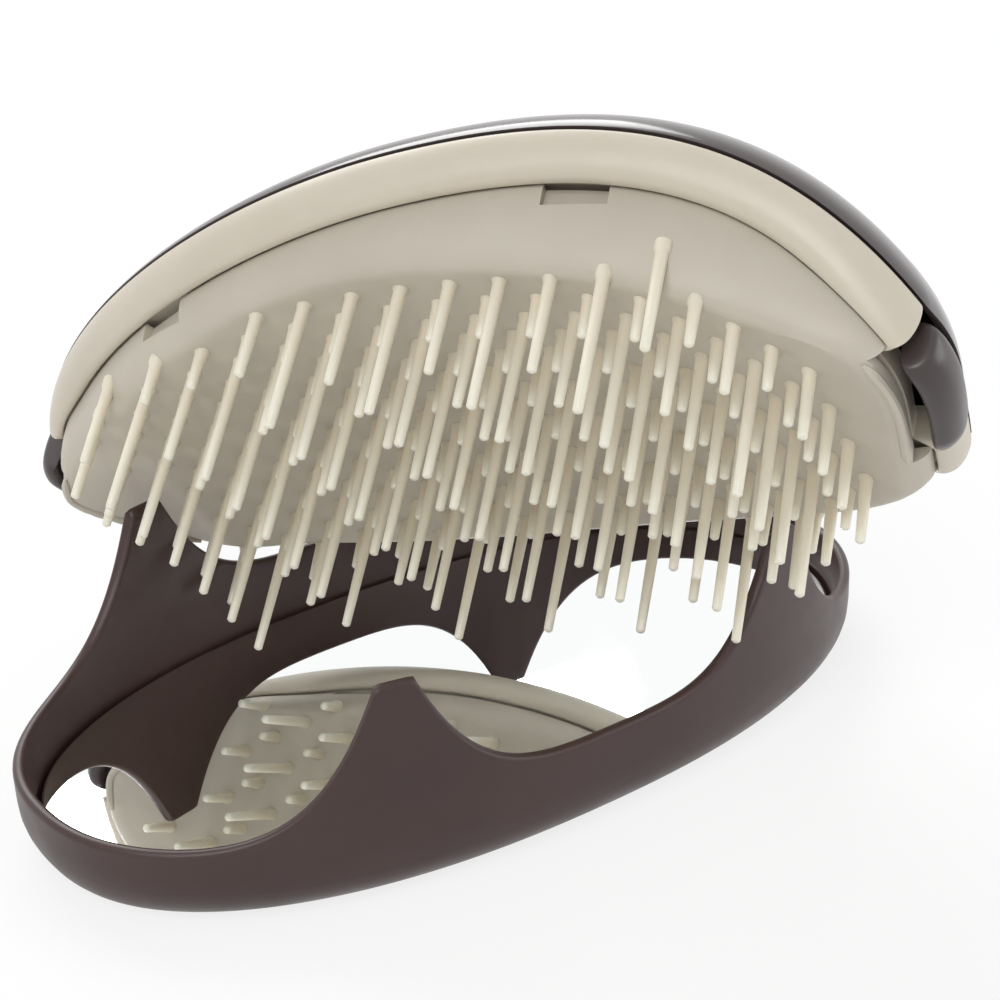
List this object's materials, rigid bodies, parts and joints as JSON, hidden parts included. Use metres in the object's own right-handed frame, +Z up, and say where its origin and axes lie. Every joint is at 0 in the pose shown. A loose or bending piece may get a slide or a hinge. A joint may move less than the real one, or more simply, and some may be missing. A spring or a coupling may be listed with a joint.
{
  "type": "compact hairbrush with mirror cover",
  "caption": "Compact detangling hairbrush with an arched back and moulded pins, taken off its push-fit cover, which holds a mirror.",
  "frame": {"origin": "centre of the cover's flat base", "axes": "+Z up out of the cover, +X along the cover's long side"},
  "size_m": [0.095, 0.0937, 0.0652],
  "materials": {
    "cover_plastic": "satin, slightly translucent at thin edges",
    "shell_plastic": "gloss",
    "beige_plastic": "fine satin",
    "button_plastic": "satin",
    "mirror": "mirror",
    "tape": "matt"
  },
  "bodies": {
    "cover": {"cover_shell": "cover_plastic", "mirror_glass": "mirror", "mirror_tape": "tape"},
    "brush": {"top_shell": "shell_plastic", "body_frame": "beige_plastic", "pin_plate": "beige_plastic"},
    "left_release": {"left_button": "button_plastic"},
    "right_release": {"right_button": "button_plastic"}
  },
  "joints": [
    {"name": "brush_lift", "type": "slide", "parent": "cover", "child": "brush", "axis": [0, 0, 1], "range_m": [0, 0.06]},
    {"name": "left_button_press", "type": "slide", "parent": "brush", "child": "left_release", "axis": [0.5063, -0.8305, 0.2321], "range_m": [0, 0.0012], "stiffness_N_per_m": 400, "springref_m": -0.001},
    {"name": "right_button_press", "type": "slide", "parent": "brush", "child": "right_release", "axis": [-0.5063, 0.8305, -0.2321], "range_m": [0, 0.0012], "stiffness_N_per_m": 400, "springref_m": -0.001}
  ]
}
